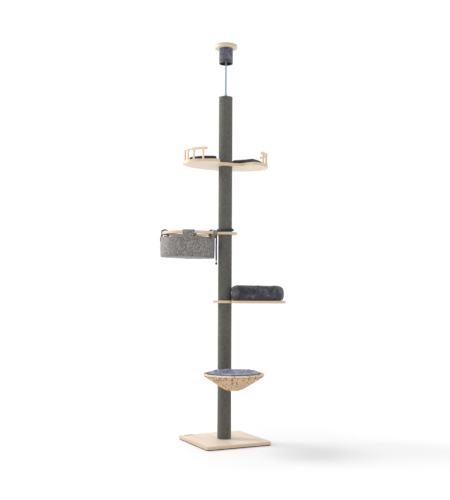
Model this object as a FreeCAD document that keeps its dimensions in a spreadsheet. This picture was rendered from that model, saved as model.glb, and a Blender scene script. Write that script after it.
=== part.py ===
import FreeCAD, Part
import Sketcher
import math
import os

# Floor-to-ceiling cat tree: a square base, five wrapped post lengths clamped around four level
# boards (basket, shelf, hammock and railed platform) and a screw-out ceiling head.
# Millimetres, +Z up, origin at the centre of the base's underside, X and Y along the base's edges.
# Each level is drawn with its arm along +X and then turned about the post.

SIZES = {
    # base
    "base_side": 450, "base_thick": 19, "base_corner": 8, "mat_side": 442, "mat_thick": 6,
    "badge_long": 52, "badge_wide": 16, "badge_thick": 0.6, "badge_x": -163, "badge_y": 203,
    # post
    "post_dia": 90, "core_dia": 84, "core_bore": 76, "plug_len": 25, "post_top": 2254,
    "stud_dia": 10, "stud_len": 66, "bolt_head_dia": 22, "bolt_head_thick": 6, "bolt_clear": 2,
    "hub_bore": 10.14,
    "level_gap": 0.3, "board_thick": 16,
    # heights of the level boards' undersides, and the way each arm points
    "basket_z": 454, "shelf_z": 899, "hammock_z": 1344, "platform_z": 1793,
    "basket_turn": -102.5, "shelf_turn": -24, "hammock_turn": 153.5, "platform_turn": 0,
    # ceiling head
    "spindle_dia": 10, "spindle_low": 2120, "spindle_high": 2540, "spindle_chamfer": 1.2,
    "insert_dia": 16, "insert_len": 40,
    "flange_dia": 30, "flange_thick": 3, "nut_flats": 17, "nut_thick": 11, "nut_lift": 10,
    "head_z": 2478, "head_len": 102, "head_recess": 30, "washer_dia": 30, "washer_thick": 2.5,
    "disc_dia": 148, "disc_thick": 16, "disc_edge": 2, "pad_dia": 146, "pad_thick": 4,
    "screw_dia": 4, "screw_head_dia": 8, "screw_len": 40, "screw_circle": 48,
    # platform
    "platform_long": 592, "platform_wide": 370, "platform_shift": -8, "platform_thick": 18,
    "bay_edge_y": -62, "bay_inner": 68, "bay_outer": 150, "bay_depth_y": -230, "bay_round": 30,
    "rail_inset": 9, "rail_dia": 17, "rail_rise": 70, "baluster_dia": 13,
    "rail_start": 167, "rail_end": 226,
    "pad_inset": 30, "pad_bay": 20, "pad_height": 28, "pad_round": 9, "post_room": 8, "notch_round": 28,
    # hammock
    "hoop_reach": 230, "hoop_dia": 366, "hoop_bore": 296, "hub_half": 50, "hub_shift": -28,
    "hub_join": 80, "rope_hole_x": 57, "rope_hole_dia": 13,
    "bag_reach": 246, "bag_dia": 356, "felt": 4, "bag_top": 1328, "bag_bottom": 1190, "bag_round": 22,
    "tab_width": 75, "tab_width_hub": 43, "tab_side_turn": 90, "tab_hub_turn": 155.5,
    "tab_play": 0.7, "tab_through": 8, "patch_thick": 1.5, "patch_wide": 0.8,
    "rope_dia": 11, "wrap_dia": 101.8, "wrap_pitch": 10.67, "rope_tail": 3, "rope_top": 1338,
    "rope_end": 1180, "ferrule_dia": 7, "ferrule_len": 16, "ferrule_gap": 0.5, "ball_dia": 15,
    "ball_gap": 0.1,
    # shelf
    "shelf_hub_dia": 156, "shelf_start": 40, "shelf_reach": 386, "shelf_wide": 340, "shelf_corner": 62,
    "bed_start": 48, "bed_reach": 381, "bed_wide": 326, "bed_high": 98, "bed_wall": 92, "bed_corner": 80,
    "bed_pad": 34, "bed_round": 44,
    # basket
    "basket_reach": 250, "basket_hub_dia": 108, "hoop_rod": 8, "hoop_rod_ring": 366, "leg_y": 24,
    "leg_depth": 26, "rim_dia": 20, "bowl_dia": 374, "bowl_floor_dia": 80, "bowl_floor_z": 356,
    "bowl_wall": 7, "bowl_round": 70, "dish_gap": 1, "dish_inset": 8, "dish_rise": 4,
    "cushion_dia": 342, "cushion_thick": 26, "cushion_lip": 481,
}

doc = FreeCAD.newDocument("cat_tree")
sheet = doc.addObject("Spreadsheet::Sheet", "Sizes")
for row, (alias, value) in enumerate(SIZES.items(), 1):
    sheet.set(f"A{row}", alias)
    sheet.set(f"B{row}", str(value))
    sheet.setAlias(f"B{row}", alias)
doc.recompute()

UP = FreeCAD.Vector(0, 0, 1)
nodes = []


def size(alias):
    """One of the sheet's sizes, as a number."""
    return float(getattr(sheet, alias))


def text(formula):
    """A formula of aliases, written for setExpression."""
    words = []
    word = ""
    for letter in formula + " ":
        if letter.isalnum() or letter in "_.":
            word += letter
            continue
        words.append(f"Sizes.{word}" if word in SIZES else word)
        words.append(letter)
        word = ""
    return "".join(words).strip()


def bind(thing, **formulas):
    """Bind properties of an object to formulas of the sheet's sizes."""
    for prop, formula in formulas.items():
        thing.setExpression(prop, text(formula))
    return thing


def place(thing, x="0", y="0", z="0", turn=None):
    """Bind an object's place, and its turn about +Z, to the sheet."""
    thing.Placement = FreeCAD.Placement(FreeCAD.Vector(), FreeCAD.Rotation(UP, 1))
    thing.setExpression(".Placement.Base.x", text(x))
    thing.setExpression(".Placement.Base.y", text(y))
    thing.setExpression(".Placement.Base.z", text(z))
    thing.setExpression(".Placement.Rotation.Angle", text(turn or "0"))
    return thing


def rod(name, dia, length, x="0", y="0", z="0"):
    """A round bar standing on height z."""
    bar = doc.addObject("Part::Cylinder", name)
    bind(bar, Radius=f"({dia}) / 2", Height=length)
    return place(bar, x, y, z)


def block(name, long, wide, high, x="0", y="0", z="0"):
    """A rectangular block whose lowest corner is at x, y, z."""
    box = doc.addObject("Part::Box", name)
    bind(box, Length=long, Width=wide, Height=high)
    return place(box, x, y, z)


def ring(name, dia, thick, x="0", y="0", z="0"):
    """A torus whose centre line has the diameter dia and whose section has the diameter thick."""
    hoop = doc.addObject("Part::Torus", name)
    bind(hoop, Radius1=f"({dia}) / 2", Radius2=f"({thick}) / 2")
    return place(hoop, x, y, z)


def fuse(name, *things):
    """Several solids joined into one."""
    whole = doc.addObject("Part::MultiFuse", name)
    whole.Shapes = list(things)
    whole.Refine = True
    return whole


def cut(name, base, *tools):
    """A solid less its tools."""
    rest = doc.addObject("Part::Cut", name)
    rest.Base = base
    rest.Tool = tools[0] if len(tools) == 1 else fuse(name + "_tools", *tools)
    rest.Refine = True
    return rest


def group(name, things):
    """Several separate solids in one node."""
    several = doc.addObject("Part::Compound", name)
    several.Links = list(things)
    return several


def node(thing, label, turn=None):
    """Name a finished piece, turn it about the post, and keep it for the export."""
    if turn:
        thing = place(group(label + "_turned", [thing]), turn=turn)
    thing.Label = label
    nodes.append(thing)


def rounded(name, base, radius, picks):
    """Fillet the edges of a solid that picks() accepts."""
    doc.recompute()
    edges = [i for i, edge in enumerate(base.Shape.Edges, 1) if picks(edge)]
    soft = doc.addObject("Part::Fillet", name)
    soft.Base = base
    soft.Edges = [(i, size(radius), size(radius)) for i in edges]
    return soft


def upright(edge):
    """A straight edge along Z."""
    ends = [v.Point for v in edge.Vertexes]
    return len(ends) == 2 and abs(ends[0].z - ends[1].z) > 1 and (ends[0] - ends[1]).normalize().isEqual(
        UP * math.copysign(1, ends[0].z - ends[1].z), 1e-6)


def at_height(z):
    """Edges that lie flat at one height."""
    return lambda edge: edge.BoundBox.ZLength < 1e-6 and abs(edge.BoundBox.ZMin - z) < 1e-4


def origin_plane(body, role):
    """One of a body's own origin planes."""
    return next(item for item in body.Origin.OriginFeatures if item.Role == role)


def sketch_on(body, name, role):
    """An empty sketch on one of a body's origin planes."""
    drawing = body.newObject("Sketcher::SketchObject", name)
    drawing.AttachmentSupport = [(origin_plane(body, role), "")]
    drawing.MapMode = "FlatFace"
    return drawing


def polygon(drawing, corners):
    """A closed outline of straight edges whose corners are bound to the sheet."""
    values = [[worked_out(part) for part in corner] for corner in corners]
    count = len(corners)
    for i in range(count):
        here = FreeCAD.Vector(*values[i], 0)
        there = FreeCAD.Vector(*values[(i + 1) % count], 0)
        drawing.addGeometry(Part.LineSegment(here, there))
    for i in range(count):
        drawing.addConstraint(Sketcher.Constraint("Coincident", i, 2, (i + 1) % count, 1))
    for i, corner in enumerate(corners):
        for kind, formula, value in zip(("DistanceX", "DistanceY"), corner, values[i]):
            if abs(value) < 1e-9:
                axis = -2 if kind == "DistanceX" else -1
                drawing.addConstraint(Sketcher.Constraint("PointOnObject", i, 1, axis))
                continue
            index = drawing.addConstraint(Sketcher.Constraint(kind, -1, 1, i, 1, value))
            drawing.setExpression(f"Constraints[{index}]", text(formula))


def worked_out(formula):
    """What a formula of aliases comes to, worked out in a spare cell of the sheet."""
    sheet.set("D1", f"={formula}")
    sheet.recompute()
    return float(sheet.get("D1"))


def turned(name, corners):
    """A PartDesign body: an outline of radius and height turned about Z."""
    body = doc.addObject("PartDesign::Body", name)
    drawing = sketch_on(body, name + "_outline", "XZ_Plane")
    polygon(drawing, corners)
    solid = body.newObject("PartDesign::Revolution", name + "_turn")
    solid.Profile = drawing
    solid.ReferenceAxis = (drawing, ["V_Axis"])
    solid.Angle = 360
    drawing.Visibility = False
    return body


def padded(name, corners, thick):
    """A PartDesign body: a flat outline made thick along +Z."""
    body = doc.addObject("PartDesign::Body", name)
    drawing = sketch_on(body, name + "_outline", "XY_Plane")
    polygon(drawing, corners)
    solid = body.newObject("PartDesign::Pad", name + "_pad")
    solid.Profile = drawing
    solid.setExpression("Length", text(thick))
    return body


def soften(body, name, radius, picks):
    """A PartDesign fillet on the edges of a body's tip that picks() accepts."""
    doc.recompute()
    tip = body.Tip
    edges = [f"Edge{i}" for i, edge in enumerate(tip.Shape.Edges, 1) if picks(edge)]
    soft = body.newObject("PartDesign::Fillet", name)
    soft.Base = (tip, edges)
    soft.setExpression("Radius", text(radius))
    doc.recompute()


def square(side):
    """The corners of a square about the origin."""
    half = f"{side} / 2"
    return [(f"0 - {half}", f"0 - {half}"), (half, f"0 - {half}"), (half, half), (f"0 - {half}", half)]


# ---- base ----------------------------------------------------------------------------------------

BASE_TOP = "mat_thick + base_thick"


def floor_mat():
    """Anti-slip mat under the base board, a little inside its edges."""
    mat = padded("mat", square("mat_side"), "mat_thick")
    soften(mat, "mat_corners", "base_corner", upright)
    node(mat, "floor_mat")


def base_board():
    """Square wooden base, bored and recessed for the bolt that holds the first post."""
    board = padded("base", square("base_side"), "base_thick")
    soften(board, "base_corners", "base_corner", upright)
    place(board, z="mat_thick")
    shank = rod("base_shank_hole", "stud_dia", BASE_TOP, z="0")
    recess = rod("base_head_hole", "bolt_head_dia", "mat_thick + bolt_head_thick", z="0")
    node(cut("base_board_cut", board, shank, recess), "base_board")


def base_bolt():
    """Flat-headed bolt from below, through the base into the first post's plug."""
    head = rod("bolt_head", "bolt_head_dia", "bolt_head_thick", z="mat_thick")
    shank = rod("bolt_shank", "stud_dia", "base_thick + plug_len - bolt_clear", z="mat_thick")
    node(fuse("bolt", head, shank), "base_bolt")


def base_badge():
    """Small blank plate on the base, by its far left corner."""
    plate = block("badge", "badge_long", "badge_wide", "badge_thick",
                  "badge_x - badge_long / 2", "badge_y - badge_wide / 2", BASE_TOP)
    node(plate, "base_badge")


# ---- post ----------------------------------------------------------------------------------------

LEVELS = [
    ("basket_z", "board_thick"), ("shelf_z", "board_thick"),
    ("hammock_z", "board_thick"), ("platform_z", "platform_thick"),
]
STARTS = [BASE_TOP] + [f"{z} + {thick} + level_gap" for z, thick in LEVELS]
ENDS = [f"{z} - level_gap" for z, thick in LEVELS] + ["post_top"]


def post_lengths():
    """Five lengths of stiff tube, each in its own wrap of cord."""
    for number, (start, end) in enumerate(zip(STARTS, ENDS), 1):
        length = f"({end}) - ({start})"
        core = cut(f"core_{number}",
                   rod(f"core_{number}_outside", "core_dia", length, z=start),
                   rod(f"core_{number}_bore", "core_bore", length, z=start))
        node(core, f"post_core_{number}")
        wrap = cut(f"wrap_{number}",
                   rod(f"wrap_{number}_outside", "post_dia", length, z=start),
                   rod(f"wrap_{number}_bore", "core_dia", length, z=start))
        node(wrap, f"post_wrap_{number}")


def plug(name, start, bore):
    """Wooden plug that closes a tube's end and takes a stud."""
    return cut(name, rod(name + "_outside", "core_bore", "plug_len", z=start),
               rod(name + "_bore", bore, "plug_len", z=start))


def post_plugs():
    """A plug in each tube end; the top one is bored wider for the spindle's insert."""
    lower = [plug(f"plug_low_{i}", start, "hub_bore") for i, start in enumerate(STARTS, 1)]
    upper = [plug(f"plug_high_{i}", f"{end} - plug_len", "hub_bore") for i, end in enumerate(ENDS[:-1], 1)]
    node(group("plugs", lower + upper), "post_plugs")
    node(plug("plug_top", "post_top - plug_len", "insert_dia"), "post_top_plug")


def level_studs():
    """Double-ended studs that join the post lengths through the level boards."""
    studs = [rod(f"stud_{i}", "stud_dia", "stud_len", z=f"{z} + {thick} / 2 - stud_len / 2")
             for i, (z, thick) in enumerate(LEVELS, 1)]
    node(group("studs", studs), "level_studs")


# ---- ceiling head --------------------------------------------------------------------------------

def spindle_parts():
    """Screwed insert in the post's top, the spindle in it, and the lock nut."""
    insert = cut("insert_cut",
                 fuse("insert", rod("insert_sleeve", "insert_dia", "insert_len", z="post_top - insert_len"),
                      rod("insert_flange", "flange_dia", "flange_thick", z="post_top")),
                 rod("insert_bore", "hub_bore", "insert_len + flange_thick", z="post_top - insert_len"))
    node(insert, "spindle_insert")
    spindle = rod("spindle_rod", "spindle_dia", "spindle_high - spindle_low", z="spindle_low")
    ends = doc.addObject("Part::Chamfer", "spindle_ends")
    doc.recompute()
    ends.Base = spindle
    chamfer = size("spindle_chamfer")
    ends.Edges = [(i, chamfer, chamfer) for i, edge in enumerate(spindle.Shape.Edges, 1)
                  if edge.BoundBox.ZLength < 1e-6]
    node(ends, "threaded_spindle")
    node(hex_nut("nut", "nut_thick", "post_top + flange_thick + nut_lift", "hub_bore"), "lock_nut")


def hex_nut(name, thick, z, bore):
    """A hexagon nut."""
    prism = doc.addObject("Part::Prism", name + "_hexagon")
    prism.Polygon = 6
    bind(prism, Circumradius="nut_flats / sqrt(3)", Height=thick)
    place(prism, z=z)
    return cut(name, prism, rod(name + "_bore", bore, thick, z=z))


def head():
    """Plush-covered sleeve with the plug that the spindle pushes on."""
    core = cut("head_core_cut", rod("head_core_outside", "core_dia", "head_len", z="head_z"),
               rod("head_core_bore", "core_bore", "head_len", z="head_z"))
    node(core, "head_core")
    plush = cut("head_plush_cut", rod("head_plush_outside", "post_dia", "head_len", z="head_z"),
                rod("head_plush_bore", "core_dia", "head_len", z="head_z"))
    node(plush, "head_plush")
    screws = head_screws()
    block_z = "head_z + head_recess"
    wood = rod("head_plug_outside", "core_bore", "head_len - head_recess", z=block_z)
    hole = rod("head_plug_hole", "hub_bore", f"spindle_high - ({block_z})", z=block_z)
    node(cut("head_plug_cut", wood, hole, screws), "head_plug")
    washer_z = f"{block_z} - washer_thick"
    node(cut("head_washer_cut", rod("head_washer_outside", "washer_dia", "washer_thick", z=washer_z),
             rod("head_washer_hole", "spindle_dia", "washer_thick", z=washer_z)), "head_washer")
    node(hex_nut("head_nut_hex", "nut_thick", f"{washer_z} - nut_thick", "spindle_dia"), "head_nut")
    disc = rod("disc_outside", "disc_dia", "disc_thick", z="head_z + head_len")
    node(cut("disc_cut", soft_disc(disc), screws), "ceiling_board")
    pad = rod("ceiling_pad_disc", "pad_dia", "pad_thick", z="head_z + head_len + disc_thick")
    node(pad, "ceiling_pad")
    node(screws, "head_screws")


def soft_disc(disc):
    """Break the ceiling board's lower edge."""
    doc.recompute()
    low = disc.Shape.BoundBox.ZMin
    return rounded("disc_soft", disc, "disc_edge", at_height(low))


def head_screws():
    """Three countersunk screws through the ceiling board into the head's plug."""
    screws = []
    for i in range(3):
        x = f"screw_circle / 2 * cos({120 * i} deg)"
        y = f"screw_circle / 2 * sin({120 * i} deg)"
        top = "head_z + head_len + disc_thick"
        shank = rod(f"screw_{i}_shank", "screw_dia", "screw_len", x, y, f"{top} - screw_len")
        cap = rod(f"screw_{i}_head", "screw_head_dia", "screw_dia", x, y, f"{top} - screw_dia")
        screws.append(fuse(f"screw_{i}", shank, cap))
    return group("head_screw_group", screws)


# ---- platform ------------------------------------------------------------------------------------

def oval(name, long, wide, thick, z):
    """An upright elliptical block."""
    outline = doc.addObject("Part::Ellipse", name + "_outline")
    bind(outline, MajorRadius=f"({long}) / 2", MinorRadius=f"({wide}) / 2")
    outline.Angle1 = 0
    outline.Angle2 = 360
    place(outline, y="platform_shift", z=z)
    solid = doc.addObject("Part::Extrusion", name)
    solid.Base = outline
    solid.DirMode = "Custom"
    solid.Dir = UP
    solid.Solid = True
    solid.setExpression("LengthFwd", text(thick))
    return solid


def bay(name, margin, thick, z):
    """The bay in the platform's front: a wedge that widens outwards, larger all round by a margin."""
    inner = f"bay_inner + {margin}"
    outer = f"bay_outer + {margin}"
    head = f"bay_edge_y + {margin}"
    wedge = padded(name, [(f"0 - ({inner})", head), (f"0 - ({outer})", "bay_depth_y"),
                          (outer, "bay_depth_y"), (inner, head)], thick)
    inside = worked_out(head)
    soften(wedge, name + "_round", "bay_round",
           lambda edge: upright(edge) and abs(edge.Vertexes[0].Point.y - inside) < 1e-4)
    return place(wedge, z=z)


def platform_board():
    """Kidney-shaped board: an oval with a bay in front of the post."""
    board = cut("platform_bayed", oval("platform_oval", "platform_long", "platform_wide",
                                       "platform_thick", "platform_z"),
                bay("bay_cut", "0", "platform_thick", "platform_z"),
                rod("platform_bore", "hub_bore", "platform_thick", z="platform_z"))
    lobes = rounded("platform_lobes", board, "bay_round", lambda edge: upright(edge)
                    and edge.Vertexes[0].Point.y < size("bay_edge_y") - size("bay_round"))
    node(lobes, "platform_board", "platform_turn")


def rail_point(angle, z):
    """A point on the oval that the rails follow."""
    long = size("platform_long") / 2 - size("rail_inset")
    wide = size("platform_wide") / 2 - size("rail_inset")
    return FreeCAD.Vector(long * math.cos(math.radians(angle)),
                          size("platform_shift") + wide * math.sin(math.radians(angle)), z)


RAIL_POINTS = 7
RAIL_SIDES = {"left": lambda angle: angle, "right": lambda angle: 180 - angle}
BALUSTERS = (221, 204, 189, 175)


def rails():
    """Two bent round rails, each on four turned balusters."""
    top = size("platform_z") + size("platform_thick")
    height = top + size("rail_rise")
    radius = size("rail_dia") / 2
    for side, mirror in RAIL_SIDES.items():
        step = (size("rail_end") - size("rail_start")) / (RAIL_POINTS - 1)
        angles = [size("rail_start") + step * i for i in range(RAIL_POINTS)]
        points = [rail_point(mirror(angle), height) for angle in angles]
        path = Part.BSplineCurve()
        path.interpolate(points)
        first = path.tangent(path.FirstParameter)[0]
        section = Part.Wire([Part.Circle(points[0], first, radius).toShape()])
        bar = Part.Wire([path.toShape()]).makePipeShell([section], True, False)
        tips = [Part.makeSphere(radius, point) for point in (points[0], points[-1])]
        rail = doc.addObject("Part::Feature", f"rail_{side}")
        rail.Shape = bar.fuse(tips).removeSplitter()
        posts = []
        for i, angle in enumerate(BALUSTERS):
            foot = rail_point(mirror(angle), top)
            post = doc.addObject("Part::Cylinder", f"baluster_{side}_{i}")
            bind(post, Radius="baluster_dia / 2", Height="rail_rise")
            post.Placement.Base = foot
            posts.append(post)
        balusters = cut(f"balusters_{side}", group(f"baluster_group_{side}", posts), rail)
        node(balusters, f"{side}_balusters", "platform_turn")
        node(rail, f"{side}_rail", "platform_turn")


def platform_cushion():
    """Loose pad that follows the board, with a notch from the bay that takes the post."""
    z = "platform_z + platform_thick + level_gap"
    half = "(post_dia / 2 + post_room)"
    notch = padded("post_notch", [(f"0 - {half}", "bay_edge_y"), (half, "bay_edge_y"), (half, half),
                                  (f"0 - {half}", half)], "pad_height")
    soften(notch, "post_notch_round", "notch_round",
           lambda edge: upright(edge) and edge.Vertexes[0].Point.y > 0)
    pad = cut("cushion_cut", oval("cushion_oval", "platform_long - 2 * pad_inset",
                                  "platform_wide - 2 * pad_inset", "pad_height", z),
              bay("cushion_bay", "pad_bay", "pad_height", z), place(notch, z=z))
    node(pad, "platform_cushion", "platform_turn")


# ---- hammock -------------------------------------------------------------------------------------

def hammock_board():
    """Round plywood hoop with a hub for the post, bored for the stud and for the play rope."""
    high = "board_thick"
    hoop = cut("hoop_ring", rod("hoop_outside", "hoop_dia", high, "hoop_reach", z="hammock_z"),
               rod("hoop_inside", "hoop_bore", high, "hoop_reach", z="hammock_z"))
    hub = rod("hub_end", "2 * hub_half", high, "hub_shift", z="hammock_z")
    neck = block("hub_neck", "hub_join - hub_shift", "2 * hub_half", high,
                 "hub_shift", "0 - hub_half", "hammock_z")
    board = cut("hammock_board_cut", fuse("hammock_plate", hoop, hub, neck),
                rod("hammock_bore", "hub_bore", high, z="hammock_z"),
                rod("hammock_rope_hole", "rope_hole_dia", high, "rope_hole_x", z="hammock_z"))
    node(board, "hammock_board", "hammock_turn")


def hammock_bag():
    """Felt bag: a round wall and a flat bottom, open at the top."""
    outside = rod("bag_outside", "bag_dia", "bag_top - bag_bottom", "bag_reach", z="bag_bottom")
    shell = rounded("bag_soft", outside, "bag_round", at_height(size("bag_bottom")))
    inside = rod("bag_inside", "bag_dia - 2 * felt", "bag_top - bag_bottom - felt", "bag_reach",
                 z="bag_bottom + felt")
    hollow = rounded("bag_hollow", inside, "bag_round", at_height(size("bag_bottom") + size("felt")))
    node(cut("bag_cut", shell, hollow), "hammock_bag", "hammock_turn")


def sector(name, inner, outer, low, high, width, turn):
    """A slice of a ring about the hoop's centre, from inner to outer radius."""
    sweep = f"({width}) / (hoop_dia / 2) * 180 / pi"
    slices = []
    for part, radius in (("outer", outer), ("inner", inner)):
        piece = doc.addObject("Part::Cylinder", f"{name}_{part}")
        bind(piece, Radius=radius, Height=f"({high}) - ({low})", Angle=sweep)
        place(piece, "hoop_reach", z=low, turn=f"{turn} - {sweep} / 2")
        slices.append(piece)
    return cut(name, *slices)


TABS = [("0", "tab_width"), ("tab_side_turn", "tab_width"), ("0 - tab_side_turn", "tab_width"),
        ("tab_hub_turn", "tab_width_hub"), ("0 - tab_hub_turn", "tab_width_hub")]


def hammock_tabs():
    """Felt loops over the hoop, each closed below it on its inner side by a hook-and-loop patch."""
    inner = "hoop_bore / 2 - tab_play"
    outer = "hoop_dia / 2 + tab_play"
    top = "hammock_z + board_thick + tab_play"
    loops = []
    patches = []
    for i, (turn, width) in enumerate(TABS):
        skin = sector(f"tab_{i}_outside", f"{inner} - felt", f"{outer} + felt", "bag_top",
                      f"{top} + felt", width, turn)
        room = sector(f"tab_{i}_inside", inner, outer, "bag_top + felt", top, f"{width} + tab_through", turn)
        loops.append(cut(f"tab_{i}", skin, room))
        patches.append(sector(f"patch_{i}", f"{inner} - felt - patch_thick", f"{inner} - felt",
                              "bag_top", "hammock_z", f"{width} * patch_wide", turn))
    node(group("tab_group", loops), "hammock_tabs", "hammock_turn")
    node(group("patch_group", patches), "hook_loop_patches", "hammock_turn")


def rope_wrap():
    """Play rope's two turns round the post, and its tail through the board."""
    low = "hammock_z + board_thick + level_gap + rope_dia / 2"
    turns = [ring(f"wrap_turn_{i}", "wrap_dia", "rope_dia", z=f"{low} + {i} * wrap_pitch") for i in range(2)]
    tail = rod("wrap_tail", "rope_dia", "board_thick + rope_tail + rope_dia + level_gap", "rope_hole_x",
               z="hammock_z - rope_tail")
    node(fuse("wrap_whole", *turns, tail), "rope_wrap", "hammock_turn")


# slight bends of the hanging rope: X and Y off the plumb line, and height from its middle
ROPE_BENDS = [(0.8, 0.5, 20), (0.6, -0.8, -30)]


def rope_path():
    """The hanging rope's route in the hammock's own directions, from the board down."""
    x = size("rope_hole_x")
    middle = (size("rope_top") + size("rope_end")) / 2
    bends = [FreeCAD.Vector(x + off_x, off_y, middle + rise) for off_x, off_y, rise in ROPE_BENDS]
    return [FreeCAD.Vector(x, 0, size("rope_top")), *bends, FreeCAD.Vector(x, 0, size("rope_end"))]


def smooth_wire(points):
    """Straight runs joined by tangent arcs."""
    edges = []
    start = points[0]
    for before, corner, after in zip(points, points[1:], points[2:]):
        into = (corner - before).normalize()
        away = (after - corner).normalize()
        turn = into.getAngle(away)
        reach = 0.45 * min((corner - before).Length, (after - corner).Length)
        print("rope bend radius", round(reach / math.tan(turn / 2)))
        first = corner - into * reach
        last = corner + away * reach
        inside = (away - into).normalize()
        radius = reach / math.tan(turn / 2)
        middle = corner + inside * (math.hypot(reach, radius) - radius)
        edges.append(Part.LineSegment(start, first).toShape())
        edges.append(Part.Arc(first, middle, last).toShape())
        start = last
    edges.append(Part.LineSegment(start, points[-1]).toShape())
    return Part.Wire(edges)


def play_rope():
    """The rope's hanging end, its ferrule and the toy ball."""
    points = rope_path()
    wire = smooth_wire(points)
    along = (points[1] - points[0]).normalize()
    section = Part.Wire([Part.Circle(points[0], along, size("rope_dia") / 2).toShape()])
    tube = doc.addObject("Part::Feature", "rope_tube")
    tube.Shape = wire.makePipeShell([section], True, False)
    area = math.pi * (size("rope_dia") / 2) ** 2
    print("rope length", round(wire.Length, 1), "volume over section x length",
          round(tube.Shape.Volume / (area * wire.Length), 4))
    node(tube, "play_rope", "hammock_turn")
    ferrule_z = "rope_end - ferrule_gap - ferrule_len"
    ferrule = rod("ferrule_rod", "ferrule_dia", "ferrule_len", "rope_hole_x", z=ferrule_z)
    node(ferrule, "rope_ferrule", "hammock_turn")
    ball = doc.addObject("Part::Sphere", "ball_sphere")
    bind(ball, Radius="ball_dia / 2")
    place(ball, "rope_hole_x", z=f"{ferrule_z} - ball_gap - ball_dia / 2")
    node(ball, "toy_ball", "hammock_turn")


# ---- shelf ---------------------------------------------------------------------------------------

def slab(name, start, reach, wide, high, z, corner):
    """A flat block along the arm with rounded corners."""
    plain = block(name + "_block", f"({reach}) - ({start})", wide, high, start, f"0 - ({wide}) / 2", z)
    return rounded(name, plain, corner, upright)


def shelf_board():
    """Wide shelf with a round hub for the post."""
    plate = slab("shelf_plate", "shelf_start", "shelf_reach", "shelf_wide", "board_thick", "shelf_z",
                 "shelf_corner")
    hub = rod("shelf_hub", "shelf_hub_dia", "board_thick", z="shelf_z")
    node(cut("shelf_board_cut", fuse("shelf_whole", plate, hub),
             rod("shelf_bore", "hub_bore", "board_thick", z="shelf_z")), "shelf_board", "shelf_turn")


def shelf_bed():
    """Loose bed: a flat pad and the fat bolster round it."""
    z = "shelf_z + board_thick + level_gap"
    outer = slab("bolster_outside", "bed_start", "bed_reach", "bed_wide", "bed_high", z, "bed_corner")
    floor = size("shelf_z") + size("board_thick") + size("level_gap")
    crowned = rounded("bolster_crown", outer, "bed_round", at_height(floor + size("bed_high")))
    hole = slab("bolster_inside", "bed_start + bed_wall", "bed_reach - bed_wall",
                "bed_wide - 2 * bed_wall", "bed_high", z, "bay_round")
    node(cut("bolster_cut", crowned, hole), "bed_bolster", "shelf_turn")
    pad = slab("bed_pad_slab", "bed_start + bed_wall + level_gap", "bed_reach - bed_wall - level_gap",
               "bed_wide - 2 * bed_wall - 2 * level_gap", "bed_pad", z, "bay_round")
    node(pad, "bed_pad_inner", "shelf_turn")


# ---- basket --------------------------------------------------------------------------------------

ROD_Z = "basket_z + board_thick / 2"


def basket_frame():
    """Wooden hub, and the steel hoop whose two legs are pushed into it."""
    hoop = ring("rod_ring", "hoop_rod_ring", "hoop_rod", "basket_reach", z=ROD_Z)
    legs = []
    for i, sign in enumerate(("", "0 - ")):
        leg = doc.addObject("Part::Cylinder", f"hoop_leg_{i}")
        bind(leg, Radius="hoop_rod / 2", Height="basket_reach - hoop_rod_ring / 2 - leg_depth + hoop_rod / 2")
        leg.Placement = FreeCAD.Placement(FreeCAD.Vector(), FreeCAD.Rotation(FreeCAD.Vector(0, 1, 0), 90))
        leg.setExpression(".Placement.Base.x", text("leg_depth"))
        leg.setExpression(".Placement.Base.y", text(f"{sign}leg_y"))
        leg.setExpression(".Placement.Base.z", text(ROD_Z))
        legs.append(leg)
    frame = fuse("basket_frame", hoop, *legs)
    hub = rod("basket_hub_disc", "basket_hub_dia", "board_thick", z="basket_z")
    node(cut("basket_hub_cut", hub, rod("basket_bore", "hub_bore", "board_thick", z="basket_z"), *legs),
         "basket_hub", "basket_turn")
    node(frame, "basket_hoop", "basket_turn")
    rim = cut("basket_rim_cut", ring("rim_ring", "hoop_rod_ring", "rim_dia", "basket_reach", z=ROD_Z), frame)
    node(rim, "basket_rim", "basket_turn")


def basket_bowl():
    """Woven bowl below the rim; its wall is about as thick square to its slope as at its floor."""
    top = f"{ROD_Z} - rim_dia / 2"
    bowl = turned("bowl", [
        ("0", "bowl_floor_z"), ("bowl_floor_dia / 2", "bowl_floor_z"), ("bowl_dia / 2", top),
        ("bowl_dia / 2 - 1.3 * bowl_wall", top),
        ("bowl_floor_dia / 2 - 0.3 * bowl_wall", "bowl_floor_z + bowl_wall"),
        ("0", "bowl_floor_z + bowl_wall")])
    low = size("bowl_floor_z")
    soften(bowl, "bowl_round_edges", "bowl_round",
           lambda edge: at_height(low)(edge) or at_height(low + size("bowl_wall"))(edge))
    node(place(bowl, "basket_reach"), "basket_bowl", "basket_turn")


def basket_cushion():
    """Loose plush dish that lines the bowl."""
    low = "bowl_floor_z + bowl_wall + dish_gap"
    dish = turned("dish", [
        ("0", low), ("bowl_floor_dia / 2 - dish_inset", low),
        ("cushion_dia / 2", f"{ROD_Z} - rim_dia / 2 + dish_rise"), ("cushion_dia / 2", "cushion_lip"),
        ("cushion_dia / 2 - cushion_thick", "cushion_lip"),
        ("bowl_floor_dia / 2 - cushion_thick", f"{low} + cushion_thick"), ("0", f"{low} + cushion_thick")])
    soften(dish, "dish_round", "bowl_round", at_height(worked_out(low)))
    soften(dish, "dish_lip", "pad_round", at_height(size("cushion_lip")))
    node(place(dish, "basket_reach"), "basket_cushion", "basket_turn")


# ---- build, check and write ----------------------------------------------------------------------

for build in (floor_mat, base_board, base_bolt, base_badge, post_lengths, post_plugs, level_studs,
              spindle_parts, head, platform_board, rails, platform_cushion, hammock_board, hammock_bag,
              hammock_tabs, rope_wrap, play_rope, shelf_board, shelf_bed, basket_frame, basket_bowl,
              basket_cushion):
    build()
doc.recompute()

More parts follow.
